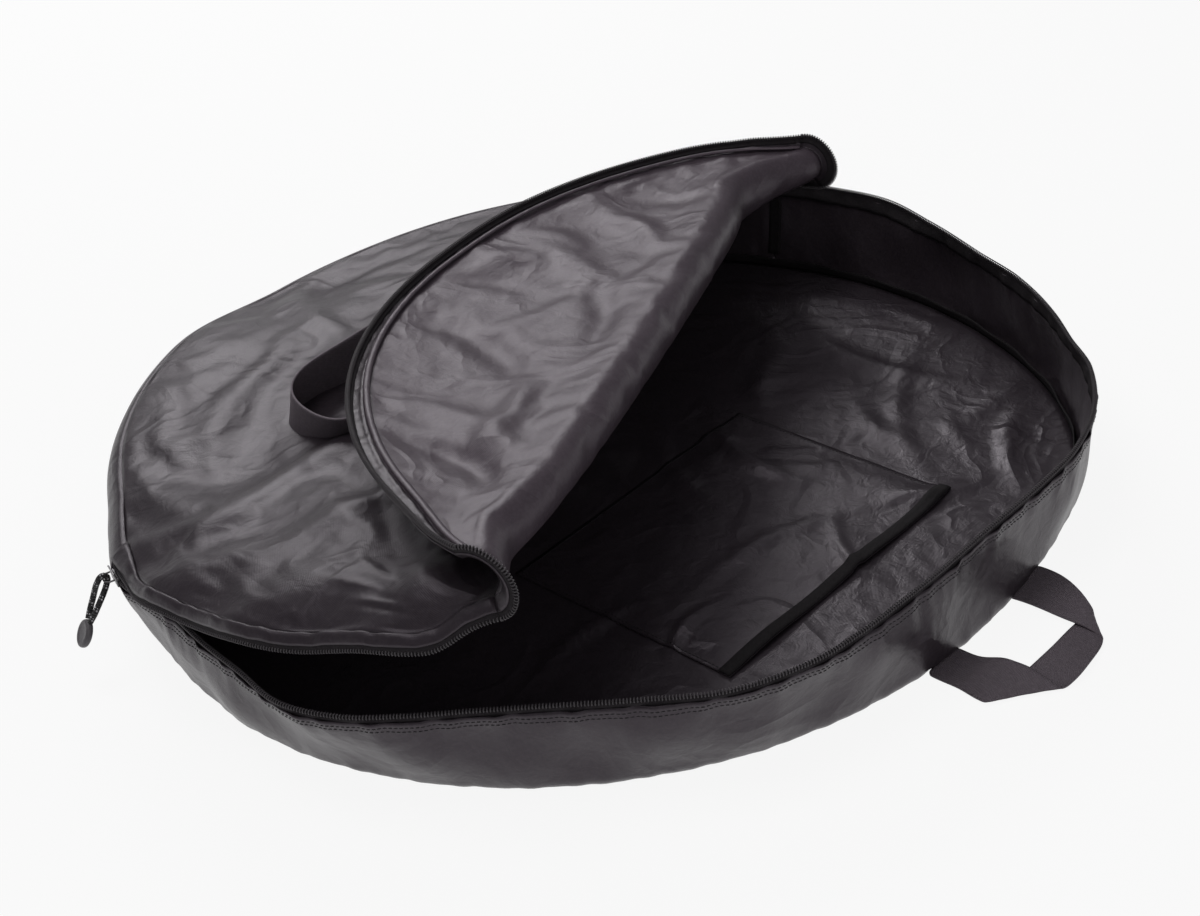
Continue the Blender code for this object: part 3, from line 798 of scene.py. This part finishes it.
# Soft pushes that bring the two ends of the fold to where they lie: middle, way and reach
front_tip, rear_tip = (flap_turn @ spot(0.352, bearing, seam_height) for bearing in (fold_front, fold_rear))
pushes = [(rear_tip, Vector((-0.041, -0.003, -0.002)), 0.085), (front_tip, Vector((-0.014, 0, 0)), 0.060),
          (rear_tip + lid_up * 0.012, Vector((0.004, 0.001, -0.001)), 0.026)]


def nudged(point):
    """A point of the folded cloth with all the pushes that reach it."""
    moved = Vector(point)
    for middle, way, reach in pushes:
        moved += way * exp(-((point - middle).length / reach) ** 2)
    return moved


def lid_lifted(point):
    """Carry a point of the closed lid up, softly across the crease."""
    share = ease(-crease_width, crease_width, (point - chord_end).dot(chord_front))
    return point.lerp(lid_turn @ point, share)


print("the longest push is", round(1000 * max(way.length for _, way, _ in pushes)), "mm")

# %% Lid
lid_creases = crease_field(5, 12, (-0.12, 0.08), 0.30, (0.05, 0.13), (0.014, 0.030), (0.0016, 0.0046))
lid_creases += in_metres([(-190, -100, 0.5, 100, 20, 5), (-100, -170, 0.2, 120, 16, 5),
    (-50, -100, 0.9, 90, 22, -6), (-260, 20, 1.3, 80, 20, 4), (-160, 200, 0.6, 100, 24, 4),
    (-125, -205, -1.27, 110, 24, -8)], *crease_places)
# How high the lid stands above its seam, by the bearing of the rib
crown_table = in_metres([(42.5, 2), (100, 2), (140, 4), (170, 9), (202, 12), (225, 14), (248, 14), (258, 8),
    (262, 5)], 1)


def lid_point(s, t):
    """A point of the lid: s runs round its seam, t from the seam along a rib to the fold."""
    bearing = fold_rear + (360 + fold_front - fold_rear) * s
    rear = zip_end < bearing < 360 + zip_start
    start = rear_edge(bearing) if rear else edge_point(0, bearing, seam_height)
    end = fold_edge(1 - s, -1)
    point = start.lerp(end, t)
    point.z = end.z + (start.z - end.z) * (1 - ease(0, 0.55, t))
    deep, left = (point - start).length, (end - point).length
    crown = 1 - exp(-deep / 0.030) - 0.45 * exp(-((deep - 0.105) / 0.040) ** 2)
    crown *= read_off(crown_table, bearing) * ease(0, 0.06, left)
    fade = ease(0, 0.05, deep) * ease(0, 0.05, left)
    gather = pucker(bearing, deep) * 0.0004 * ease(0, 0.006, deep) * ease(0, 0.04, left)
    point.z += crown + crease_height(lid_creases, point) * fade + gather
    return nudged(lid_lifted(point))


lid_rows = settle(grid(lid_point, span(0, 1, 126), span(0, 1, 76)), 0.006, 0.009, 3)
lid_cloth = cloth("lid_cloth", lid_rows, shell_nylon, nylon_thick, outside=False, smooth=1)
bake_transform(lid_cloth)
take_place(lid_cloth, None, "shell_nylon", "lid_panel_rear", "lid_panel_front")

# %% [markdown]
# The front half of the lid is turned over, so its lining side shows. The flap and
# the soft roll that leads to it are one cloth: half a turn of the roll, then ribs out
# to the flap's own edge.

# %% Flap and its rolled fold
roll_flatness = 0.90


def half_turn(low, high, gap, count):
    """Points of a half circle from low to high that bulges outward."""
    middle = (low + high) / 2
    arm = low - middle
    out = fold_side - arm * (fold_side.dot(arm) / arm.length_squared)
    out = out.normalized() * arm.length * roll_flatness
    skip = asin(gap / arm.length)
    return [middle + arm * cos(t) + out * sin(t) for t in span(skip, pi - skip, count)]


fold_turn = lid_turn.inverted() @ flap_turn
flap_creases = in_metres([(30, 20, 1.25, 120, 16, 6), (160, -100, 0.6, 100, 18, -5),
    (200, 60, 1.1, 120, 20, 5), (240, -60, 0.4, 90, 18, 5), (180, -180, 0.1, 100, 16, -5),
    (270, 20, 0.2, 80, 16, 4), (100, -220, 0.9, 90, 14, 5), (260, 120, 0.9, 80, 16, 4),
    (64, -288, 0, 60, 13, -7), (90, -255, 0.1, 70, 14, 4), (300, -30, -0.2, 28, 8, 3),
    (290, -75, -0.35, 30, 8, 3), (275, -115, -0.45, 32, 8, -3), (270, 20, 0.1, 30, 8, 3)], *crease_places)
flap_creases += crease_field(23, 8, (0.20, -0.04), 0.20, (0.04, 0.10), (0.010, 0.022), (0.0012, 0.0034))


def flap_point(s, t):
    """A point of the flap: s runs along the fold, t from the fold out to the flap's seam."""
    bearing = fold_front + (fold_rear - fold_front) * s
    inner, outer = fold_edge(s, 1), edge_point(0, bearing, seam_height)
    point = inner.lerp(outer, t)
    near, far = (point - inner).length, (outer - point).length
    fade = ease(0, 0.03, near) * ease(0, 0.03, far)
    sink = 0.010 * sin(pi * t) * min(1, (outer - inner).length / 0.15)
    gather = pucker(bearing, far) * 0.0004 * ease(0, 0.006, far) * ease(0, 0.03, near)
    point.z += sink - crease_height(flap_creases, point) * fade - gather
    return nudged(flap_turn @ point)


flap_rows = grid(flap_point, span(0, 1, 96), span(0, 1, 46)[1:])
for row, s in zip(flap_rows, span(0, 1, 96)):
    roll = half_turn(fold_edge(s, -1), fold_turn @ fold_edge(s, 1), 0.0005, 12)
    row[:0] = [nudged(lid_turn @ p) for p in roll]
flap_rows = settle(flap_rows, 0.005, 0.007, 4)
flap_cloth = cloth("flap_cloth", flap_rows, lining_nylon, nylon_thick, outside=False, smooth=1)
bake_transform(flap_cloth)
take_place(flap_cloth, None, "lining_nylon", "flap_panel", "fold_roll")

# %% [markdown]
# Between the lid's seam and its zip runs a narrow band of shell cloth with the zip tape
# sewn to it. It is a strip of one profile all along the lid's edge: on the lid, round
# the two bends of the fold, on the flap, and on the short rear end.

# %% Bands of the lid's edge
tape_thick, bend_thick = 0.0007, 0.0009
band_profile = in_metres([(0, 92.1), (0.22, 92), (0.45, 91.1), (0.68, 89.5), (0.86, 87.7), (1, 86.2)], 1)
tape_profile = in_metres([(0.7, 88.2), (0.82, 86.8), (0.95, 85.4), (1, 84.1), (1, 81.8)], 1)


def carried(points, turn):
    """Rows of the closed lid, turned to where they lie and then pushed with the rest of the cloth."""
    return [[nudged(turn @ Vector(p)) for p in row] for row in points]


def band_rows(profile, start, end, gathers):
    def band_point(a, place):
        shift = pucker(a + 31, 0.02 * abs(place[0] - 0.4)) * gathers
        return edge_point(place[0], a, place[1] + shift)

    return grid(band_point, span(start, end, max(8, int(abs(end - start) * 2))), profile)


def bend_rows(profile, bearing):
    """The same strip where it turns over with the fold."""
    rows = [half_turn(edge_point(s, bearing, h), fold_turn @ edge_point(s, bearing, h), 0, 15)
            for s, h in profile]
    return [list(row) for row in zip(*rows)]


stretches = (("lid", "lid", lid_turn, zip_start + 0.1, fold_front),
             ("flap", "flap", flap_turn, fold_front, fold_rear),
             ("lid_end", "lid", lid_turn, fold_rear, zip_end - 0.1))
for name, body, turn, start, end in stretches:
    rows = carried(band_rows(band_profile, start, end, 0.0006), turn)
    band = cloth(name + "_edge_band", rows, shell_nylon, nylon_thick)
    take_place(band, body, "shell_nylon", name + "_gusset")
    rows = carried(band_rows(tape_profile, start, end, 0), turn)
    tape = cloth(name + "_edge_tape", rows, zip_tape, tape_thick)
    take_place(tape, body, "zip_tape", name + "_zip_tape")
for name, bearing in (("front", fold_front), ("rear", fold_rear)):
    for part, profile, material, nodes in (("band", band_profile, shell_nylon, (name + "_fold_gusset",)),
                                           ("tape", tape_profile, zip_tape, ())):
        rows = carried(bend_rows(profile, bearing), lid_turn)
        strip = cloth(name + "_bend_" + part, rows, material, bend_thick)
        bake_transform(strip)
        take_place(strip, None, "shell_nylon" if part == "band" else "zip_tape", *nodes)

# %% [markdown]
# A coil zip is one filament wound in loops along the tape's edge. Geometry Nodes lay the
# loops: the path becomes a curve, gets a point at every pitch, and each point takes one
# small ring that faces along the path. The tree ends in Realize Instances and Set
# Material, and then becomes a plain mesh.

# %% Geometry Nodes for the zip's loops and for stitches
def make_row_tree(name, shape):
    """A row of small rings or beads along a path."""
    sizes = [(label, "Float") for label in ("Pitch", "Across", "Tall", "Wire")]
    inputs = [("Path", "Geometry"), *sizes, ("Finish", "Material")]
    tree, given, made = new_group(name, inputs, [("Row", "Geometry")], "GeometryNodeTree")

    def step(kind, values, **settings):
        return put(tree, "GeometryNode" + kind, values, **settings).outputs

    line = step("MeshToCurve", {"Mesh": given["Path"]})
    upright = step("SetCurveNormal", {"Curve": line[0]}, mode="Z_UP")
    places = step("CurveToPoints", {"Curve": upright[0], "Length": given["Pitch"]}, mode="LENGTH")
    long = 1 if shape == "ring" else given["Wire"]
    size = put(tree, "ShaderNodeCombineXYZ", {"X": given["Across"], "Y": given["Tall"], "Z": long}).outputs[0]
    if shape == "ring":
        ring = step("CurvePrimitiveCircle", {"Resolution": 8, "Radius": 0.5})
        oval = step("Transform", {"Geometry": ring[0], "Scale": size})
        wire = step("CurvePrimitiveCircle", {"Resolution": 4, "Radius": given["Wire"]})
        unit = step("CurveToMesh", {"Curve": oval[0], "Profile Curve": wire[0]})
    else:
        bead = step("MeshUVSphere", {"Segments": 6, "Rings": 4, "Radius": 0.5})
        unit = step("Transform", {"Geometry": bead[0], "Scale": size})
    row = step("InstanceOnPoints",
               {"Points": places["Points"], "Rotation": places["Rotation"], "Instance": unit[0]})
    real = step("RealizeInstances", {0: row[0]})
    smooth = step("SetShadeSmooth", {0: real[0]})
    fill(tree, made, {0: step("SetMaterial", {"Geometry": smooth[0], "Material": given["Finish"]})[0]})
    return tree


coil_tree = make_row_tree("zip_loops", "ring")
stitch_tree = make_row_tree("stitch_row", "bead")
print("row trees of", len(coil_tree.nodes), "and", len(stitch_tree.nodes), "nodes")


# %% Rows of zip loops
def row_along(name, lines, tree, pitch, across, tall, wire, material):
    """Run a row tree along one or more lines and keep the plain mesh."""
    mesh = bpy.data.meshes.new(name + "_path")
    points, edges = [], []
    for line in lines:
        first = len(points)
        points += [tuple(p) for p in line]
        edges += [(first + i, first + i + 1) for i in range(len(line) - 1)]
    mesh.from_pydata(points, edges, [])
    piece = link(name, mesh)
    rows = piece.modifiers.new("row", "NODES")
    rows.node_group = tree
    names = {item.name: item.identifier for item in tree.interface.items_tree if item.in_out == "INPUT"}
    values = {"Pitch": pitch, "Across": across, "Tall": tall, "Wire": wire, "Finish": material}
    for key, value in values.items():
        rows[names[key]] = value
    return bake(piece)


# Pitch, width across the tape, height and thickness of the loops; in the closed lid they hang at coil_height
coil_sizes = (0.0021, 0.0029, 0.0024, 0.00052, coil_filament)
coil_height = 0.082
# The rows leave room for the stops at both ends, in degrees of the rim.
stop_length = 0.0035
stop_skip = stop_length / (radians(1) * zip_radius) + 0.3
base_line = [spot(zip_radius + rim_wave(a), a, zip_height)
             for a in span(zip_start + stop_skip, zip_end - stop_skip, 900)]
coil = row_along("base_coil_loops", [base_line], coil_tree, *coil_sizes)
take_place(coil, "bag_base", "zip_coil", "base_zip_coil")
skips = {"lid": (stop_skip, 0), "flap": (0, 0), "lid_end": (0, stop_skip)}
for name, body, turn, start, end in stretches:
    first, last = skips[name]
    line = [nudged(turn @ edge_point(1, a, coil_height)) for a in span(start + first, end - last, 300)]
    coil = row_along(name + "_coil_loops", [line], coil_tree, *coil_sizes)
    take_place(coil, body, "zip_coil", name + "_zip_coil")
for name, bearing in (("front", fold_front), ("rear", fold_rear)):
    ends = edge_point(1, bearing, coil_height), fold_turn @ edge_point(1, bearing, coil_height)
    bend = [nudged(lid_turn @ p) for p in half_turn(*ends, 0.0012, 24)]
    coil = row_along(name + "_bend_loops", [bend], coil_tree, *coil_sizes)
    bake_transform(coil)
    take_place(coil, None, "zip_coil", name + "_fold_zip")

# %% [markdown]
# The tape under the base's zip is folded over the wall's top edge: flat against the
# inside of the wall, and upright where the slider runs.

# %% Base tape and its stitching
def base_tape_point(a, height):
    if height < wall_top:
        return front_wall_point(a, height) - spot(0.0014, a, 0)
    return spot(zip_radius + rim_wave(a), a, height)


tape_rows = grid(base_tape_point, span(zip_start + 0.1, zip_end - 0.1, 430),
                 (0.0622, 0.0650, 0.0690, 0.0722, 0.0758))
base_tape = cloth("base_tape_cloth", tape_rows, zip_tape, tape_thick)
take_place(base_tape, "bag_base", "zip_tape", "base_zip_tape")
stitch = (0.0034, 0.0007, 0.0006, 0.0026, thread_black)
lines = [[front_wall_point(a, height) + spot(0.0006, a, 0) for a in span(zip_start + 0.6, zip_end - 0.6, 900)]
         for height in (0.0672, 0.0640)]
wall_stitches = row_along("wall_stitches", lines, stitch_tree, *stitch)
take_place(wall_stitches, "bag_base", "webbing")

# %% [markdown]
# Narrow tapes bind the raw edges of the seams inside: round the floor, up the two side
# seams, and under each stretch of the lid's edge.

# %% Seam bindings
binding_thick = 0.0009


def binding_ring_point(a, t):
    flutter = 0.0012 * sin(radians(a) * 37)
    return spot(base_radius - 0.0034 + foot_ring_wave(a) + flutter * t - 0.0015 * t, a, 0.0030 + 0.0085 * t)


ring = grid(binding_ring_point, span(0, 360, 181)[:-1], span(0, 1, 4))
floor_tape = cloth("floor_edge_tape", ring, binding, binding_thick, closed=True)
take_place(floor_tape, "bag_base", "webbing", "floor_seam_binding")
for side, bearing in (("left", zip_start), ("right", zip_end)):
    rows = grid(lambda a, h: spot(wall_radius(h) - 0.0018, a, h), span(bearing - 0.88, bearing + 0.88, 6),
                span(0.0125, 0.0600, 12))
    tape = cloth(side + "_side_tape", rows, binding, 0.0010)
    take_place(tape, "bag_base", "webbing", side + "_side_seam")


def edge_binding_point(a, t):
    inward = spot(0.0044 * (1 - t) + 0.0004, a, 0)
    return edge_point(0, a, 0.0905) - inward - UP * 0.0012 * sin(pi * t)


for name, body, turn, start, end in stretches:
    places = span(start + 0.05, end - 0.05, max(6, int((end - start) * 1.5)))
    rows = grid(edge_binding_point, places, span(0, 1, 6))
    material = lining_nylon if name == "flap" else binding
    tape = cloth(name + "_edge_binding", carried(rows, turn), material, binding_thick)
    take_place(tape, body, "webbing", name + "_seam_binding")

# %% [markdown]
# The floor pocket is a flat patch sewn down on three sides, with a folded hem at its
# mouth. It follows the folds of the floor under it, so its height is read off the same
# crease lines.

# %% Floor pocket
pocket_out, pocket_side = spot(1, -48, 0), tangent(-48)
mouth, pocket_wide, pocket_deep, hem_deep = 0.243, 0.249, 0.200, 0.010
pocket_height, pocket_thick, pocket_slack = 0.0040, 0.0008, 0.0022


def pocket_point(side, deep, lift):
    """A point of the pocket: across it, in from its mouth, and above the floor."""
    point = pocket_out * (mouth - deep) + pocket_side * side
    point.z = pocket_height + lift + max(0, crease_height(floor_creases, point))
    return point


def pocket_rows(deep, lift):
    def slack_point(u, v):
        inside = ease(0, 0.02, pocket_wide / 2 - abs(u)) * ease(0, 0.03, pocket_deep - v)
        return pocket_point(u, v, lift + pocket_slack * inside * (0.5 + 0.5 * sin(u * 61 + v * 23)))

    downs = span(0, deep, max(4, int(deep * 330)))
    return grid(slack_point, span(-pocket_wide / 2, pocket_wide / 2, 80), downs)


pocket = cloth("pocket_cloth", pocket_rows(pocket_deep, 0), floor_nylon, pocket_thick)
take_place(pocket, "bag_base", "lining_nylon", "floor_pocket")
hem = cloth("pocket_hem_tape", pocket_rows(hem_deep, 0.0012), binding, pocket_thick)
take_place(hem, "bag_base", "webbing", "pocket_hem")
edge, back = pocket_wide / 2 - 0.003, pocket_deep - 0.003
around = [(-edge, v) for v in span(0.003, back, 60)]
around += [(u, back) for u in span(-edge, edge, 70)][1:]
around += [(edge, v) for v in span(back, 0.003, 60)][1:]
line = [pocket_point(u, v, 0.0007) for u, v in around]
pocket_stitches = row_along("pocket_stitches", [line], stitch_tree, *stitch)
take_place(pocket_stitches, "bag_base", "webbing")

# %% [markdown]
# The handles are flat webbing. The one on the base lies on the floor and is folded over
# at its two corners, as webbing has to be to turn a corner flat. It is a ribbon whose
# two edges change places at each fold. The loop on the lid stands on its lower edge.

# %% Handle on the base
webbing_thick = 0.0015


def ribbon(name, pairs):
    """Webbing through pairs of edge points, rounded by subdivision so that its folds stay soft."""
    rows = [[a.lerp(b, t) for t in span(0, 1, 5)] for a, b in pairs]
    return cloth(name, rows, webbing, webbing_thick, smooth=2)


base_out, base_side = spot(1, -45, 0), tangent(-45)
strap_root = base_out * 0.3415
# Each pair is the strap's two edges, in millimetres: along the wall, out from it and up.
# The edges change places at each fold, from inside to outside and back.
base_pairs = [
    ((30, 1, 1), (69, 1, 1)), ((30, 7, 1.5), (69, 5, 1.5)), ((29, 17, 3), (67, 18, 3)),
    ((27, 32, 4), (62, 31, 4)), ((25, 45, 4.5), (54, 44, 4.5)), ((25, 58, 4.5), (48, 52, 4)),
    ((24, 68, 3.5), (44, 57, 3.5)), ((23, 76, 2.5), (42, 58, 2.5)), ((19, 78, 2), (40, 55, 1.5)),
    ((12, 80, 2.5), (29, 54, 1.2)), ((-2, 82, 5), (17, 53, 1.2)), ((-15, 83, 5.5), (1, 53, 1.2)),
    ((-22, 82.5, 4.5), (-12, 52, 1.2)), ((-26, 81, 2.5), (-27, 51, 1.2)),
    ((-30, 80, 1.5), (-47, 49, 1.2)), ((-35, 78, 2), (-69, 47, 2)), ((-33, 72, 3), (-71, 45, 2.7)),
    ((-31, 62, 3.5), (-71, 41, 2.7)), ((-28, 52, 3.5), (-70, 35, 2.5)), ((-30, 42, 5), (-68, 28, 2)),
    ((-31, 34, 6), (-67, 21, 2)), ((-38, 23, 4.5), (-67, 13, 2)), ((-35, 9, 2.5), (-66, 4, 1.5)),
    ((-33, -1, 1.2), (-65, -1, 1.2))
]
pairs = [tuple(strap_root + (base_out * v + base_side * u + UP * z) * 0.001 for u, v, z in pair)
         for pair in base_pairs]
base_handle = ribbon("base_handle_webbing", pairs)
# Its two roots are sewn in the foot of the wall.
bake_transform(base_handle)
take_place(base_handle, None, "webbing", "base_handle")

# %% Loop on the lid
# The loop on the flap comes out from under its edge and stands on the lid.
# Each pair is the loop's upper edge and its lower edge, in millimetres.
lid_handle_pairs = [
    ((-110, 70, 132), (-120, 52, 98)), ((-134, 62, 132), (-143, 44, 96)),
    ((-151, 50, 131), (-160, 36, 95)), ((-166, 36, 130), (-173, 30, 94)),
    ((-182, 22, 130), (-186, 22, 93.5)), ((-196, 7, 130), (-199, 14, 93.5)),
    ((-203.5, -10, 130), (-210, 4, 93.5)), ((-204, -28, 130), (-214, -8, 94)),
    ((-197, -48, 130), (-212, -22, 95)), ((-184, -66, 130), (-203, -38, 96)),
    ((-170, -79, 131), (-188, -53, 98)), ((-153, -83, 134), (-169, -60, 101)),
    ((-124, -78, 140), (-138, -62, 108))
]
pairs = [tuple(Vector(p) * 0.001 for p in pair) for pair in lid_handle_pairs]
take_place(ribbon("lid_handle_webbing", pairs), "lid_handle", "webbing", "lid_handle")

# %% [markdown]
# The slider, its bail and the two stops are cast and bent metal whose CAD shape is
# already right, so they only get their finish.

# %% Metal finish on the carried-over solids
for name in ("zip_slider", "slider_bail", "bottom_zip_stop", "top_zip_stop"):
    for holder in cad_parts[name].material_slots:
        holder.material = slider_metal
print("metal on slider, bail and stops")

# %% [markdown]
# The stage is a pale floor under a white surround. The floor keeps a soft shadow, and
# for the camera it is lifted towards white, as in a catalogue picture. One large soft
# lamp behind the bag gives the cloth its sheen, and weak lamps fill the rest.

# %% Floor, lights and surround
def stage_floor():
    mesh = bpy.data.meshes.new("stage_floor")
    reach, below = 9, -0.0004
    corners = [(x * reach, y * reach, below) for x, y in ((-1, -1), (1, -1), (1, 1), (-1, 1))]
    mesh.from_pydata(corners, [], [(0, 1, 2, 3)])
    material, tree, shader = new_material("pale_floor")
    fill(tree, shader.inputs, {"Base Color": (0.86, 0.86, 0.86, 1), "Roughness": 0.9})
    rays = put(tree, "ShaderNodeLightPath").outputs
    seen = ("MAXIMUM", ("MAXIMUM", rays["Is Camera Ray"], rays["Is Glossy Ray"]), rays["Is Transmission Ray"])
    lifted = put(tree, "ShaderNodeMixShader", {0: reckon(tree, "MULTIPLY", seen, 0.9), 1: shader.outputs[0],
                                               2: put(tree, "ShaderNodeEmission").outputs[0]})
    fill(tree, tree.nodes["Material Output"].inputs, {"Surface": lifted.outputs[0]})
    link("stage_floor", mesh, material)


stage_floor()
world = bpy.data.worlds.new("surround")
bpy.context.scene.world = world
world.use_nodes = True
tree = world.node_tree
soft = tree.nodes["Background"]
fill(tree, soft.inputs, {"Color": (0.80, 0.80, 0.82, 1), "Strength": 0.22})
plain = put(tree, "ShaderNodeBackground", {"Color": (*white, 1)})
surround = put(tree, "ShaderNodeMixShader", {0: put(tree, "ShaderNodeLightPath").outputs["Is Camera Ray"],
                                             1: soft.outputs[0], 2: plain.outputs[0]})
fill(tree, tree.nodes["World Output"].inputs, {"Surface": surround.outputs[0]})


def soft_lamp(name, place, aim, size, power):
    data = bpy.data.lights.new(name, "AREA")
    data.shape = "RECTANGLE"
    data.size, data.size_y = size
    data.energy = power
    lamp = link(name, data)
    lamp.location = place
    lamp.rotation_euler = (Vector(aim) - Vector(place)).to_track_quat("-Z", "Y").to_euler()


soft_lamp("back_lamp", (-0.5, 2.1, 1.5), (0, 0, 0.05), (1.5, 0.8), 23)
soft_lamp("top_lamp", (-0.6, 0, 2.4), (0, 0, 0), (1.2, 1.2), 13)
soft_lamp("front_lamp", (0.8, -2.2, 1.4), (0, 0, 0.05), (1.4, 1), 6)
bpy.context.scene.view_settings.view_transform = "Standard"
print("lit")
